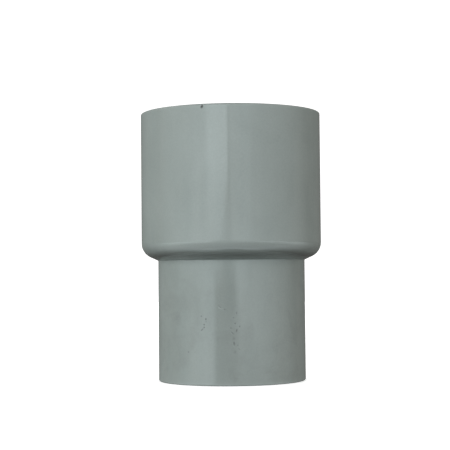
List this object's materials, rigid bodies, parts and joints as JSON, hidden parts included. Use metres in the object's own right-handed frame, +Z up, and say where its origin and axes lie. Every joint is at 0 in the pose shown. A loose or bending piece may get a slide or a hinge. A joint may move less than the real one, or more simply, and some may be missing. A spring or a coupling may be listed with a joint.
{
  "type": "eccentric reducer",
  "caption": "Stepped plastic pipe reducer with offset push-fit sockets, a lip seal and a snap-in retaining ring in each mouth.",
  "frame": {"origin": "on the large socket's axis, in the plane of the small mouth's end face, which the part stands on", "axes": "+Z up along the pipes' axes, from the small mouth to the large one; +Y towards the flush back, where the two sockets' outsides line up; -Y towards the stepped front"},
  "size_m": [0.0744, 0.0744, 0.111],
  "materials": {
    "grey_pvc": "semi-gloss moulded PVC",
    "retaining_ring_grey": "satin moulded plastic",
    "black_rubber": "matt moulded rubber",
    "white_stiffener": "plain moulded plastic"
  },
  "bodies": {
    "root": {"reducer_body": "grey_pvc", "large_retaining_ring": "retaining_ring_grey", "large_lip_seal": "black_rubber", "large_seal_stiffener": "white_stiffener", "small_retaining_ring": "retaining_ring_grey", "small_lip_seal": "black_rubber", "small_seal_stiffener": "white_stiffener"}
  },
  "joints": []
}
